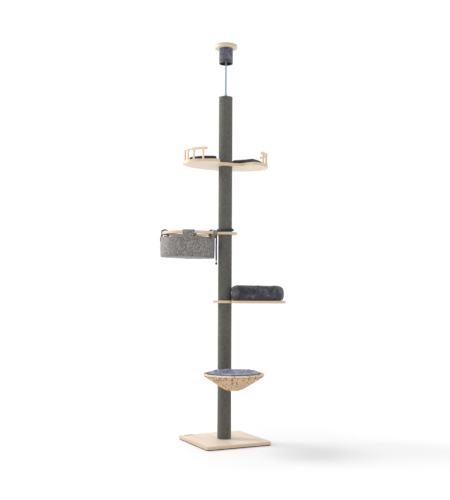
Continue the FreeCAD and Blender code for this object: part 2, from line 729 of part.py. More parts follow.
for thing in doc.Objects:
    if "Invalid" in thing.State or "Error" in thing.State:
        raise RuntimeError(f"{thing.Name} ({thing.Label}) did not compute: {thing.State}")
for thing in nodes:
    if thing.Shape.isNull() or not thing.Shape.isValid() or not thing.Shape.Solids:
        raise RuntimeError(f"{thing.Label} has no valid solid")

os.makedirs("parts", exist_ok=True)
for thing in nodes:
    thing.Shape.exportStep(f"parts/{thing.Label}.step")
    box = thing.Shape.BoundBox
    print(f"{thing.Label:20s} solids {len(thing.Shape.Solids):2d}  x {box.XMin:7.1f} {box.XMax:7.1f}"
          f"  y {box.YMin:7.1f} {box.YMax:7.1f}  z {box.ZMin:7.1f} {box.ZMax:7.1f}"
          f"  cm3 {thing.Shape.Volume / 1000:8.1f}")
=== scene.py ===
import math

import bpy
import numpy as np
from mathutils import Euler, Matrix, Vector, noise


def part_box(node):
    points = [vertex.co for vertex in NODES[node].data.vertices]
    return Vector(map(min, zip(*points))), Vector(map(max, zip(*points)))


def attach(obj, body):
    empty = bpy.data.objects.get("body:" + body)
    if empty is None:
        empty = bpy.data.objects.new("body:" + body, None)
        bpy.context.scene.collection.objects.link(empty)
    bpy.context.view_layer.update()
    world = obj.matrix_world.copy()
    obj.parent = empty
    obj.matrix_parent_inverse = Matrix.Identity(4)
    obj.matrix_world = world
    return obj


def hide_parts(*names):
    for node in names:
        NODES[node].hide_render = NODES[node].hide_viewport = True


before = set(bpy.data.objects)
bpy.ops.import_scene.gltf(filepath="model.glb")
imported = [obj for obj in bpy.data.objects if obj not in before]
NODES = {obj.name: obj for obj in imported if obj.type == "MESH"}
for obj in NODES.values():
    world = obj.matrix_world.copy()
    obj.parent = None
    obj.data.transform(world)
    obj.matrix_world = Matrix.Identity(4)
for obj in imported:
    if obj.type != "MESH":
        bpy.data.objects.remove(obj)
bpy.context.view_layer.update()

# The looks of the floor-to-ceiling cat tree, in metres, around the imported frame. The wood, metal and
# rubber pieces keep their CAD shapes; every cord, plush, felt and woven piece is made here.

TAU = 2 * math.pi
MM = 0.001
SCENE = bpy.context.scene


# ---- reading the frame ----

def points_of(obj):
    """A mesh object's points, one row each."""
    flat = np.empty(len(obj.data.vertices) * 3, np.float32)
    obj.data.vertices.foreach_get("co", flat)
    return flat.reshape(-1, 3).astype(float)


def moved_to(obj, points):
    """Puts a mesh object's points at new places."""
    obj.data.vertices.foreach_set("co", points.astype(np.float32).ravel())
    obj.data.update()


def normals_of(obj):
    """The normals at a mesh object's points."""
    return np.array([v.normal for v in obj.data.vertices])


def middle(node):
    """The middle of a CAD node's box."""
    low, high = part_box(node)
    return (low + high) / 2


class Arm:
    """A level's own directions: x along its arm from the post, y across it."""

    def __init__(self, node):
        centre = middle(node)
        self.turn = math.atan2(centre.y, centre.x)

    def row(self, points):
        """Points in the arm's directions, as they are in the row's frame."""
        return turned(points, self.turn)

    def span(self, node):
        """A node's lowest and highest corners in the arm's directions."""
        own = turned(points_of(NODES[node]), -self.turn)
        return own.min(0), own.max(0)


def turned(points, angle):
    """Points turned about the post."""
    points = np.asarray(points, float)
    x, y = points[..., 0], points[..., 1]
    cos, sin = math.cos(angle), math.sin(angle)
    return np.stack([x * cos - y * sin, x * sin + y * cos, points[..., 2]], -1)


# ---- making meshes ----

class Shape:
    """Points and faces of a piece, gathered from grids. lay is length along a strand and its number."""

    def __init__(self):
        self.points, self.faces, self.lays, self.count = [], [], [], 0

    def grid(self, points, rows_close=False, columns_close=False, lay=None, keep=None):
        """Faces between the rows and columns of points."""
        rows, columns = points.shape[:2]
        index = np.arange(rows * columns).reshape(rows, columns) + self.count
        here = index if rows_close else index[:-1]
        there = np.roll(index, -1, 0) if rows_close else index[1:]
        if columns_close:
            quads = np.stack([here, np.roll(here, -1, 1), np.roll(there, -1, 1), there], -1)
        else:
            quads = np.stack([here[:, :-1], here[:, 1:], there[:, 1:], there[:, :-1]], -1)
        quads = quads.reshape(-1, 4)
        if keep is not None:
            quads = quads[keep(quads - self.count)]
        self.points.append(points.reshape(-1, 3))
        self.lays.append(np.zeros((rows * columns, 3)) if lay is None else lay.reshape(-1, 3))
        self.faces += quads.tolist()
        self.count += rows * columns
        return index

    def tube(self, path, radius, sides=6, closed=False, number=0.0):
        """A round strand along a path; radius may differ along it."""
        _, side, up = directions(path, closed)
        angle = turn_of(sides)
        radius = np.broadcast_to(np.asarray(radius, float), len(path))
        cos, sin = np.cos(angle)[None, :, None], np.sin(angle)[None, :, None]
        ring = side[:, None] * cos + up[:, None] * sin
        points = path[:, None] + ring * radius[:, None, None]
        lay = np.zeros((len(path), sides, 3))
        lay[..., 0] = lengths(path)[:, None]
        lay[..., 1] = number
        index = self.grid(points, rows_close=closed, columns_close=True, lay=lay)
        if not closed:
            self.faces.append(index[0].tolist())
            self.faces.append(index[-1][::-1].tolist())

    def piece(self, name, material, body, slot, stands_for=(), smooth=True):
        """The gathered faces as a piece that rides on a body."""
        mesh = bpy.data.meshes.new(name)
        points = np.concatenate(self.points)
        mesh.from_pydata(points.tolist(), [], self.faces)
        mesh.attributes.new("lay", "FLOAT_VECTOR", "POINT").data.foreach_set(
            "vector", np.concatenate(self.lays).astype(np.float32).ravel())
        mesh.polygons.foreach_set("use_smooth", [smooth] * len(mesh.polygons))
        obj = bpy.data.objects.new(name, mesh)
        return settle(obj, material, body, stands_for)


def settle(obj, material, body, stands_for=()):
    """Puts a new piece in the scene, on its body, with its material."""
    if obj.name not in SCENE.collection.objects:
        SCENE.collection.objects.link(obj)
    obj.data.materials.clear()
    obj.data.materials.append(material)
    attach(obj, body)
    if stands_for:
        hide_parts(*stands_for)
    return obj


def lengths(path):
    """How far along a path each of its points is."""
    return np.concatenate([[0], np.cumsum(np.linalg.norm(np.diff(path, axis=0), axis=1))])


def directions(path, closed=False):
    """The way a path runs at each point, and two directions square to it that twist little."""
    if closed:
        tangent = np.roll(path, -1, 0) - np.roll(path, 1, 0)
    else:
        tangent = np.gradient(path, axis=0)
    tangent /= np.linalg.norm(tangent, axis=1)[:, None]
    side = np.empty_like(tangent)
    first = np.cross(tangent[0], (0, 0, 1) if abs(tangent[0][2]) < 0.9 else (1, 0, 0))
    side[0] = first / np.linalg.norm(first)
    for i in range(1, len(path)):
        moved = side[i - 1] - tangent[i] * (side[i - 1] @ tangent[i])
        side[i] = moved / np.linalg.norm(moved)
    return tangent, side, np.cross(tangent, side)


def polar(radius, angle, height, centre=(0, 0)):
    """Points by their distance from a centre, their angle about it and their height."""
    x = centre[0] + radius * np.cos(angle)
    y = centre[1] + radius * np.sin(angle)
    return np.stack(np.broadcast_arrays(x, y, height), -1)


def turn_of(steps):
    """Even angles of one whole turn."""
    return TAU * np.arange(steps) / steps


def circle(radius, steps, height):
    """Points of a level circle."""
    return polar(radius, turn_of(steps), height)


def twisted(shape, path, strands, strand_radius, offset, lay, closed=False, sides=6):
    """Strands laid round each other along a path, one full twist in each lay."""
    _, side, up = directions(path, closed)
    along = lengths(path)
    if closed:
        whole = along[-1] + np.linalg.norm(path[0] - path[-1])
        lay = whole / round(whole / lay)
    for i in range(strands):
        phase = TAU * (along / lay + i / strands)
        strand = path + offset * (np.cos(phase)[:, None] * side + np.sin(phase)[:, None] * up)
        shape.tube(strand, strand_radius, sides, closed, number=i + 1.0)


def softened(points, rounds=3):
    """A path with its corners cut round after round, its ends kept."""
    points = np.asarray(points, float)
    for _ in range(rounds):
        ahead, behind = points[1:], points[:-1]
        cut = np.stack([0.75 * behind + 0.25 * ahead, 0.25 * behind + 0.75 * ahead], 1)
        points = np.concatenate([points[:1], cut.reshape(-1, points.shape[1]), points[-1:]])
    return points


def wound(shape, low, high, pitch, profile, steps):
    """A surface wound round the post between two heights; profile is (share of pitch, radius)."""
    share, radius = np.array(profile).T
    turns = math.ceil((high - low) / pitch) + 1
    count = np.arange(-steps, turns * steps + 1)
    angle = TAU * count / steps
    height = low + pitch * (count[:, None] / steps + share[None])
    inside = np.clip(height, low, high)
    radius = np.broadcast_to(radius, inside.shape)
    points = polar(radius, angle[:, None], inside)
    lay = np.zeros(points.shape)
    lay[..., 0] = (angle * radius.max())[:, None]
    lay[..., 1] = share[None]
    flat = inside.ravel()

    def keep(quads):
        corner = flat[quads]
        return np.ptp(corner, axis=1) > 1e-9

    shape.grid(points, lay=lay, keep=keep)


def unevenness(angle, waves, seed):
    """Smooth noise round a circle."""
    places = [(waves * math.cos(a), waves * math.sin(a), seed) for a in angle]
    return np.array([noise.noise(Vector(place)) for place in places])


def ruffled(obj, *waves):
    """Moves each point along its normal by smooth noise; a wave is (size, height) in metres."""
    points = points_of(obj)
    shift = np.zeros(len(points))
    for size, height in waves:
        shift += height * np.array([noise.noise(Vector(p) / size) for p in points])
    moved_to(obj, points + normals_of(obj) * shift[:, None])


def copied(node, name):
    """A new object with a CAD node's mesh."""
    obj = bpy.data.objects.new(name, NODES[node].data.copy())
    SCENE.collection.objects.link(obj)
    return obj


def with_modifiers(obj):
    """Makes an object's modifiers part of its mesh."""
    bpy.context.view_layer.update()
    done = obj.evaluated_get(bpy.context.evaluated_depsgraph_get())
    made = bpy.data.meshes.new_from_object(done)
    obj.modifiers.clear()
    obj.data = made


PRESSURE = 4.0
CLOTH_STEPS = 20
LEVEL = 0.35


def remeshed(obj, voxel):
    """Even quads all over a closed mesh."""
    modifier = obj.modifiers.new("even", "REMESH")
    modifier.mode = "VOXEL"
    modifier.voxel_size = voxel
    modifier.use_smooth_shade = True
    with_modifiers(obj)


def swollen(obj, voxel, shrink, cap):
    """
    A closed mesh filled as stuffing fills its cover. It starts smaller by shrink, and no point moves
    more than cap from there, or below where the piece rests.
    """
    remeshed(obj, voxel)
    floor = points_of(obj)[:, 2].min()
    start = points_of(obj) - normals_of(obj) * shrink
    moved_to(obj, start)
    cloth = obj.modifiers.new("filled", "CLOTH")
    cloth.settings.use_pressure = True
    cloth.settings.uniform_pressure_force = PRESSURE
    cloth.settings.effector_weights.gravity = 0
    cloth.collision_settings.use_collision = False
    for step in range(1, CLOTH_STEPS + 1):
        SCENE.frame_set(step)
    done = obj.evaluated_get(bpy.context.evaluated_depsgraph_get())
    end = points_of(done)
    obj.modifiers.clear()
    SCENE.frame_set(1)
    move = end - start
    length = np.linalg.norm(move, axis=1)
    move *= np.minimum(1, cap / np.maximum(length, 1e-9))[:, None]
    end = start + move
    end[:, 2] = np.maximum(end[:, 2], floor)
    moved_to(obj, end)
    obj.modifiers.new("fine", "SUBSURF").levels = 1
    with_modifiers(obj)


def grooved(obj, height, depth, width):
    """A sewn line round a pad's sides, at one height; it fades where the pad turns level."""
    normals = normals_of(obj)
    points = points_of(obj)
    beside = np.clip((1 - np.abs(normals[:, 2]) - LEVEL) / (1 - LEVEL), 0, 1)
    inward = depth * beside * np.exp(-((points[:, 2] - height) / width) ** 2)
    flat = normals * (1, 1, 0)
    moved_to(obj, points - flat * inward[:, None])


def smooth_faces(obj):
    obj.data.polygons.foreach_set("use_smooth", [True] * len(obj.data.polygons))


# ---- materials ----

def rgb(red, green, blue):
    """A colour as it looks on a screen, 0 to 255, made linear."""
    def linear(value):
        share = value / 255
        return share / 12.92 if share <= 0.04045 else ((share + 0.055) / 1.055) ** 2.4
    return (linear(red), linear(green), linear(blue), 1)


class Look:
    """A procedural material, built round one Principled shader."""

    def __init__(self, name, roughness=0.6, **sockets):
        self.material = bpy.data.materials.new(name)
        self.material.use_nodes = True
        self.tree = self.material.node_tree
        self.tree.nodes.clear()
        self.shader = self.add("ShaderNodeBsdfPrincipled")
        output = self.add("ShaderNodeOutputMaterial")
        self.tree.links.new(self.shader.outputs[0], output.inputs["Surface"])
        self.shader.inputs["Roughness"].default_value = roughness
        for socket, value in sockets.items():
            title = socket.replace("_", " ").title().replace("Ior", "IOR")
            self.shader.inputs[title].default_value = value

    def add(self, kind, **values):
        """A node; values set its inputs by name or number, linking those that are sockets."""
        node = self.tree.nodes.new(kind)
        for name, value in values.items():
            self.feed(node.inputs[name], value)
        return node

    def feed(self, socket, value):
        """Sets an input, or links it."""
        if isinstance(value, bpy.types.NodeSocket):
            self.tree.links.new(value, socket)
        else:
            socket.default_value = rgb(*value) if socket.type == "RGBA" else value

    def at(self, scale=(1, 1, 1), turn=0.0):
        """Places on the piece at rest, turned about the post and then stretched."""
        coordinates = self.add("ShaderNodeTexCoord").outputs["Object"]
        if turn:
            spin = self.tree.nodes.new("ShaderNodeVectorRotate")
            spin.rotation_type = "Z_AXIS"
            self.feed(spin.inputs["Vector"], coordinates)
            spin.inputs["Angle"].default_value = -turn
            coordinates = spin.outputs[0]
        return self.stretched(coordinates, scale)

    def stretched(self, vector, scale):
        node = self.tree.nodes.new("ShaderNodeVectorMath")
        node.operation = "MULTIPLY"
        self.feed(node.inputs[0], vector)
        node.inputs[1].default_value = scale
        return node.outputs[0]

    def lay(self):
        """Length along a strand, and the strand's own number."""
        node = self.tree.nodes.new("ShaderNodeAttribute")
        node.attribute_name = "lay"
        return self.split(node.outputs["Vector"])

    def split(self, vector):
        return self.add("ShaderNodeSeparateXYZ", Vector=vector).outputs

    def joined(self, x, y, z):
        return self.add("ShaderNodeCombineXYZ", X=x, Y=y, Z=z).outputs[0]

    def math(self, operation, first, second=None):
        node = self.tree.nodes.new("ShaderNodeMath")
        node.operation = operation
        self.feed(node.inputs[0], first)
        if second is not None:
            self.feed(node.inputs[1], second)
        return node.outputs[0]

    def times(self, first, second):
        return self.math("MULTIPLY", first, second)

    def plus(self, first, second):
        return self.math("ADD", first, second)

    def less(self, first, second):
        return self.math("SUBTRACT", first, second)

    def noise(self, vector, detail=3.0, rough=0.55, scale=1.0):
        node = self.add("ShaderNodeTexNoise", Vector=vector, Scale=scale, Detail=detail,
                        Roughness=rough)
        return node.outputs[0]

    def cells(self, vector, scale=1.0):
        return self.add("ShaderNodeTexVoronoi", Vector=vector, Scale=scale).outputs["Distance"]

    def ramp(self, factor, *stops):
        """A colour ramp; a stop is (place, colour)."""
        node = self.tree.nodes.new("ShaderNodeValToRGB")
        elements = node.color_ramp.elements
        while len(elements) < len(stops):
            elements.new(0.5)
        for element, (place, colour) in zip(elements, stops):
            element.position = place
            element.color = rgb(*colour)
        self.feed(node.inputs[0], factor)
        return node.outputs[0]

    def mix(self, factor, first, second):
        node = self.tree.nodes.new("ShaderNodeMix")
        node.data_type = "RGBA"
        self.feed(node.inputs[0], factor)
        self.feed(node.inputs[6], first)
        self.feed(node.inputs[7], second)
        return node.outputs[2]

    def tint(self, factor, most, first, second):
        """A colour with up to a share of a second one in it."""
        return self.mix(self.grey(factor, 0.0, most), first, second)

    def grey(self, factor, low, high):
        """A factor from 0 to 1 taken to the range from low to high."""
        limits = {"To Min": low, "To Max": high}
        return self.add("ShaderNodeMapRange", Value=factor, **limits).outputs[0]

    def finish(self, colour, height=None, strength=0.3, distance=0.001, rough=None):
        """Colour, bump and roughness into the shader; rough is (factor, low, high)."""
        self.feed(self.shader.inputs["Base Color"], colour)
        if rough is not None:
            self.feed(self.shader.inputs["Roughness"], self.grey(*rough))
        if height is not None:
            bump = self.add("ShaderNodeBump", Height=height, Strength=strength, Distance=distance)
            self.feed(self.shader.inputs["Normal"], bump.outputs[0])
        return self.material


def plywood(name, node, turn=0.0, plies=11,
            face=((222, 204, 181), (236, 222, 203), (215, 194, 167))):
    """Birch plywood: long grain on its faces and the plies on its edges."""
    low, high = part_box(node)
    look = Look(name, coat_weight=0.12, coat_roughness=0.35)
    warp = look.noise(look.at((2, 9, 9), turn), 2)
    figure = look.noise(look.at((2.2, 34, 34), turn), 5, 0.6)
    fine = look.noise(look.at((30, 950, 950), turn), 2)
    grain = look.plus(look.times(figure, 0.75), look.times(warp, 0.25))
    plain = look.ramp(grain, (0.34, face[0]), (0.5, face[1]), (0.68, face[2]))
    flecked = look.tint(fine, 0.16, plain, (176, 143, 108))
    place = look.split(look.at())
    level = look.times(look.less(place[2], low.z), plies / (high.z - low.z))
    wave = look.math("FRACT", look.times(level, 0.5))
    ply = look.math("GREATER_THAN", wave, 0.5)
    pores = look.noise(look.at((420, 420, 60)), 2)
    light = look.mix(pores, (226, 207, 182), (206, 182, 152))
    dark = look.mix(pores, (202, 175, 144), (178, 149, 118))
    edge = look.mix(ply, light, dark)
    normal = look.split(look.add("ShaderNodeTexCoord").outputs["Normal"])
    on_face = look.math("GREATER_THAN", look.math("ABSOLUTE", normal[2]), 0.6)
    colour = look.mix(on_face, edge, flecked)
    return look.finish(colour, look.plus(fine, figure), 0.12, 0.0006, (figure, 0.42, 0.62))


def turned_wood(name, pole=None):
    """Sanded beech; its grain follows a ring about the pole, or else runs upwards."""
    look = Look(name, coat_weight=0.15, coat_roughness=0.3)
    place = look.split(look.at())
    if pole:
        across = look.less(place[0], pole[0])
        ahead = look.less(place[1], pole[1])
        angle = look.math("ARCTAN2", ahead, across)
        square = look.plus(look.times(across, across), look.times(ahead, ahead))
        along = look.joined(look.times(angle, 2.0),
                            look.times(look.math("SQRT", square), 110.0),
                            look.times(place[2], 110.0))
    else:
        along = look.at((120, 120, 9))
    figure = look.noise(along, 5, 0.6)
    fleck = look.noise(look.stretched(along, (4, 7, 7)), 2)
    colour = look.ramp(figure, (0.3, (214, 188, 152)), (0.5, (233, 212, 182)),
                       (0.7, (205, 175, 137)))
    colour = look.tint(fleck, 0.22, colour, (168, 130, 92))
    return look.finish(colour, look.plus(figure, fleck), 0.1, 0.0005, (figure, 0.35, 0.55))


def raw_wood(name):
    """Unfinished pine."""
    look = Look(name)
    rings = look.noise(look.at((60, 60, 6)), 5, 0.6)
    colour = look.ramp(rings, (0.35, (176, 140, 100)), (0.6, (208, 178, 138)))
    return look.finish(colour, rings, 0.3, 0.0006, (rings, 0.7, 0.9))


def card(name, shade=1.0):
    """Wound card tube; shade scales all its colours down, and below one it is painted shade."""
    look = Look(name)

    def tone(*colour):
        return [shade * c for c in colour]

    fibres = look.noise(look.at((160, 160, 500)), 4)
    patch = look.noise(look.at((30, 30, 30)), 2)
    colour = look.mix(patch, look.ramp(fibres, (0.35, tone(140, 110, 78)), (0.65, tone(178, 148, 112))),
                      tone(160, 128, 94))
    return look.finish(colour, fibres, 0.25, 0.0004, (fibres, 0.8, 0.95))


def heathered_cord(name):
    """Three-ply cord: slanting plies, pale and dark fibres, and darker patches."""
    look = Look(name, roughness=0.85, sheen_weight=0.15, sheen_roughness=0.5)
    along, across, _ = look.lay()
    slant = look.plus(look.times(along, 165.0), across)
    ply = look.math("SINE", look.times(slant, TAU))
    drawn_out = look.joined(look.times(along, 60.0), look.times(across, 3.0), 0.0)
    spread = look.noise(drawn_out, 3)
    fibre = look.noise(look.at((700, 700, 1500)), 2)
    mottle = look.noise(look.at((80, 80, 150)), 3, 0.7)
    tone = look.plus(look.times(fibre, 0.55), look.times(spread, 0.45))
    colour = look.ramp(tone, (0.3, (54, 52, 50)), (0.5, (96, 94, 89)), (0.72, (164, 160, 153)))
    patchy = look.less(look.times(mottle, 2.6), 0.95)
    colour = look.mix(patchy, colour, (68, 66, 62))
    height = look.plus(look.times(ply, 0.5), look.times(fibre, 0.8))
    return look.finish(colour, height, 0.55, 0.0006, (fibre, 0.78, 0.95))


def zinc(name, colour, brushed=(40, 40, 900), roughness=(0.24, 0.42)):
    """Zinc-plated steel with faint streaks."""
    look = Look(name, metallic=1.0)
    streak = look.noise(look.at(brushed), 3)
    bloom = look.noise(look.at((70, 70, 70)), 3)
    tone = look.tint(bloom, 0.5, colour, [c * 0.78 for c in colour])
    return look.finish(tone, streak, 0.08, 0.0002, (streak, *roughness))


def rubber(name, colour, scale=900.0):
    """Matt rubber with a fine pebbled face."""
    look = Look(name, specular_ior_level=0.35)
    pebble = look.cells(look.at(), scale)
    dust = look.noise(look.at((45, 45, 45)), 4)
    dusty = [min(255, c * 1.5 + 8) for c in colour]
    tone = look.tint(dust, 0.6, colour, dusty)
    return look.finish(tone, pebble, 0.35, 0.0004, (dust, 0.7, 0.9))


def plush(name, dark, mid, light, tuft=170.0):
    """Short-pile plush, mottled in its own colour, with painted sheen: the pale end of the ramp stands
    in for light caught by leaning tufts.
    """
    look = Look(name, roughness=0.95, sheen_weight=0.35, sheen_roughness=0.45)
    sheen_lean = look.noise(look.at(), 3, 0.6, 22.0)
    clump = look.noise(look.at(), 3, 0.7, tuft)
    pile = look.noise(look.at(), 2, scale=1900.0)
    tone = look.plus(look.times(sheen_lean, 0.4), look.times(clump, 0.6))
    # painted sheen: leaning and clumped tufts are ramped up to the light colour, as if they caught the
    # lamp
    colour = look.ramp(tone, (0.36, dark), (0.5, mid), (0.64, light))
    colour = look.tint(pile, 0.35, colour, dark)
    height = look.plus(look.times(clump, 1.0), look.times(pile, 0.35))
    return look.finish(colour, height, 0.9, 0.004, (pile, 0.85, 1.0))


def felt(name):
    """Thick heathered felt: matted fibres in three greys."""
    look = Look(name, roughness=0.95, sheen_weight=0.2, sheen_roughness=0.5)
    bend = look.noise(look.at(), 2, scale=240.0)
    swirl = look.add("ShaderNodeVectorMath")
    swirl.operation = "ADD"
    look.feed(swirl.inputs[0], look.at((520, 520, 520)))
    look.feed(swirl.inputs[1], look.joined(look.times(bend, 5.0), bend, look.times(bend, 3.0)))
    fibres = look.noise(swirl.outputs[0], 4, 0.7)
    heather = look.noise(look.at((150, 150, 90)), 3, 0.7)
    tone = look.plus(look.times(fibres, 0.4), look.times(heather, 0.6))
    colour = look.ramp(tone, (0.38, (70, 67, 66)), (0.5, (117, 113, 111)),
                       (0.62, (172, 168, 165)))
    return look.finish(colour, fibres, 0.5, 0.0012, (fibres, 0.86, 1.0))


def tape(name):
    """Hook-and-loop tape: rows of tiny hooks."""
    look = Look(name, roughness=0.7)
    hooks = look.cells(look.at(), 1100.0)
    colour = look.ramp(hooks, (0.1, (38, 38, 40)), (0.6, (12, 12, 13)))
    return look.finish(colour, hooks, 0.6, 0.0006, (hooks, 0.55, 0.85))


def laid_rope(name, dark, light):
    """Twisted synthetic rope: fine yarns across each strand."""
    look = Look(name, roughness=0.7, sheen_weight=0.1)
    along = look.lay()[0]
    yarn = look.math("SINE", look.times(along, 2600.0))
    fibre = look.noise(look.at((900, 900, 900)), 2)
    colour = look.mix(fibre, dark, light)
    height = look.plus(look.times(yarn, 0.4), fibre)
    return look.finish(colour, height, 0.4, 0.0004, (fibre, 0.55, 0.8))


def fibre(name):
    """Split natural fibre: long streaks, darker nodes, each strand its own tan."""
    look = Look(name, coat_weight=0.05)
    along, number, _ = look.lay()
    own = look.noise(look.joined(look.times(number, 7.3), look.times(along, 42.0), 0.0), 2)
    streak = look.noise(look.joined(look.times(along, 45.0), look.times(number, 31.0),
                                    look.noise(look.at(), 2, scale=600.0)), 4, 0.65)
    knot = look.noise(look.joined(look.times(along, 60.0), number, 4.0), 1)
    colour = look.ramp(own, (0.36, (196, 154, 114)), (0.48, (240, 210, 174)),
                       (0.62, (252, 234, 208)))
    colour = look.tint(streak, 0.5, colour, (150, 106, 70))
    colour = look.mix(look.math("GREATER_THAN", knot, 0.64), colour, (98, 64, 40))
    return look.finish(colour, streak, 0.5, 0.0009, (streak, 0.5, 0.8))


def thread(name, colour):
    """Sewing yarn."""
    look = Look(name, roughness=0.6)
    twist = look.noise(look.at((1500, 1500, 1500)), 1)
    tone = look.mix(twist, colour, [c * 0.7 for c in colour])
    return look.finish(tone, twist, 0.3, 0.0003)


def plate(name, colour):
    """Brushed dark plate."""
    look = Look(name, metallic=0.6)
    brush = look.noise(look.at((30, 1800, 30)), 2)
    tone = look.mix(brush, colour, [c * 1.35 for c in colour])
    return look.finish(tone, brush, 0.1, 0.0002, (brush, 0.35, 0.55))


def give(material, *nodes):
    """A CAD node that keeps its shape gets its material."""
    for node in nodes:
        mesh = NODES[node].data
        if not mesh.materials:
            mesh.materials.append(material)
        for i in range(len(mesh.materials)):
            mesh.materials[i] = material


# ---- camera, floor and light ----

EYE = (-2.289, -4.7136, 0.966)
LENS = 57.74
SHIFT = 0.0052
HEADING = math.radians(25.9)
PITCH = math.radians(2.86)
ROLL = math.radians(0.28)
FLOOR = 30.0
# the floor's painted light starts this far from the post and grows outward
NEAR_FLOOR = 0.7
ROOM_LIGHT = 1.02
# the lamp: how far right of the post, behind it and up; what it is aimed at; its width and its watts
KEY_PLACE = (-2.6, 0.6, 2.9)
KEY_AIM = (0, 0, 1.3)
KEY_SIZE = 1.6
KEY_POWER = 80.0


def camera():
    """Eye height about 1 m, 5.2 m from the post, 26 degrees round from the base's side."""
    data = bpy.data.cameras.new("camera")
    data.sensor_width = 36
    data.lens = LENS
    data.shift_y = SHIFT
    eye = bpy.data.objects.new("camera", data)
    eye.location = EYE
    look = Euler((math.pi / 2 + PITCH, 0, -HEADING)).to_matrix() @ Matrix.Rotation(ROLL, 3, "Z")
    eye.rotation_euler = look.to_euler()
    SCENE.collection.objects.link(eye)
    SCENE.camera = eye


def from_camera(across, away, up):
    """A place given by how far right of the post, behind it and above the floor it is."""
    return turned([across, away, up], -HEADING)


def floor_and_light():
    """A pale floor with painted light, whiter away from the tree where the lamp no longer reaches; an
    even white room and a wide soft lamp.
    """
    mesh = bpy.data.meshes.new("floor")
    corners = [(-FLOOR, -FLOOR, 0), (FLOOR, -FLOOR, 0), (FLOOR, FLOOR, 0), (-FLOOR, FLOOR, 0)]
    mesh.from_pydata(corners, [], [(0, 1, 2, 3)])
    floor = bpy.data.objects.new("floor", mesh)
    SCENE.collection.objects.link(floor)
    look = Look("floor_paint", roughness=0.9)
    cloud = look.noise(look.at((0.6, 0.6, 0.6)), 2)
    away = look.add("ShaderNodeVectorMath")
    away.operation = "LENGTH"
    look.feed(away.inputs[0], look.at())
    # painted light: the floor turns whiter away from the tree, standing in for the lamp's light that
    # falls off there
    far = look.times(look.less(away.outputs["Value"], NEAR_FLOOR), 0.6)
    near_paint = look.mix(cloud, (228, 228, 229), (225, 225, 226))
    mesh.materials.append(look.finish(look.mix(far, near_paint, (255, 255, 255))))
    world = bpy.data.worlds.new("room")
    world.use_nodes = True
    world.node_tree.nodes["Background"].inputs[0].default_value = (1, 1, 1, 1)
    world.node_tree.nodes["Background"].inputs[1].default_value = ROOM_LIGHT
    SCENE.world = world
    data = bpy.data.lights.new("key", "AREA")
    data.shape = "DISK"
    data.size = KEY_SIZE
    data.energy = KEY_POWER
    lamp = bpy.data.objects.new("key", data)
    lamp.location = from_camera(*KEY_PLACE)
    towards = Vector(from_camera(*KEY_AIM)) - lamp.location
    lamp.rotation_euler = towards.to_track_quat("-Z", "Y").to_euler()
    SCENE.collection.objects.link(lamp)
    SCENE.view_settings.view_transform = "Standard"


# ---- the post and the head ----

CORD_PITCH = 5.0 * MM
CORD_BULGE = 1.5 * MM
CORD_STEPS = 72


def post_cords(material):
    """Cord wound close round each post length, with a flat ring at each end where it is cut off."""
    for number in range(1, 6):
        node = f"post_wrap_{number}"
        low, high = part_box(node)
        outside = (high.x - low.x) / 2
        share = np.linspace(0, 1, 7)
        bulge = np.sin(math.pi * share) ** 0.7
        profile = list(zip(share, outside - CORD_BULGE * (1 - bulge)))
        shape = Shape()
        wound(shape, low.z, high.z, CORD_PITCH, profile, CORD_STEPS)
        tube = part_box(f"post_core_{number}")[1].x
        for z in (low.z, high.z):
            rims = [circle(radius, CORD_STEPS, z) for radius in (tube, outside - 0.6 * CORD_BULGE)]
            shape.grid(np.stack(rims), columns_close=True)
        shape.piece(f"post_cord_{number}", material, "base", "post_cord", [node])


def spindle(material):
    """The spindle with its thread cut."""
    low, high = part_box("threaded_spindle")
    outside = (high.x - low.x) / 2
    root = outside - 0.9 * MM
    shape = Shape()
    profile = [(0.0, root), (0.12, root), (0.42, outside), (0.58, outside), (0.88, root), (1.0, root)]
    end = 1.0 * MM
    wound(shape, low.z + end, high.z - end, 1.5 * MM, profile, 24)
    for z, tip in ((low.z + end, low.z), (high.z - end, high.z)):
        rings = np.stack([circle(root, 24, z), circle(root - end / 2, 24, tip), circle(1e-5, 24, tip)])
        shape.grid(rings, columns_close=True)
    shape.piece("spindle_thread", material, "ceiling_head", "zinc_steel", ["threaded_spindle"])


def head_sleeve(material):
    """Plush glued round the head's tube, its lower edge turned in."""
    low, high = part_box("head_plush")
    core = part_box("head_core")[1].x
    outside = (high.x - low.x) / 2
    turned_in = [(core, low.z + 6 * MM), (core, low.z + 1 * MM), (outside - 1 * MM, low.z),
                 (outside, low.z + 3 * MM)]
    side = [(outside, z) for z in np.linspace(low.z + 5 * MM, high.z, 44)]
    profile = softened(turned_in + side + [(core, high.z)], 1)
    shape = Shape()
    shape.grid(polar(profile[:, :1], turn_of(180), profile[:, 1:]), columns_close=True)
    sleeve = shape.piece("head_sleeve_plush", material, "ceiling_head", "plush_slate", ["head_plush"])
    ruffled(sleeve, (9 * MM, 1.4 * MM), (3.5 * MM, 1.0 * MM))


# ---- padded pieces ----

POST_GAP = 1.5 * MM
SOFT_FROM = 130 * MM
ROUNDED_BY = 36 * MM


def pressed_to_post(obj, arm):
    """The end next to the post spread out, more where it is rounded, until it meets the cord."""
    places = points_of(obj)
    along = places[:, :2] @ np.array([math.cos(arm.turn), math.sin(arm.turn)])
    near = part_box("post_wrap_2")[1].x + POST_GAP
    share = np.clip((SOFT_FROM - along) / (SOFT_FROM - along.min()), 0, 1)
    half = (places[:, 2].max() - places[:, 2].min()) / 2
    rounding = ((places[:, 2] - places[:, 2].min()) / half - 1) ** 2
    move = share * (near - along.min()) - ROUNDED_BY * share ** 2 * rounding
    move = np.maximum(move, near - along)
    places[:, 0] += move * math.cos(arm.turn)
    places[:, 1] += move * math.sin(arm.turn)
    moved_to(obj, places)


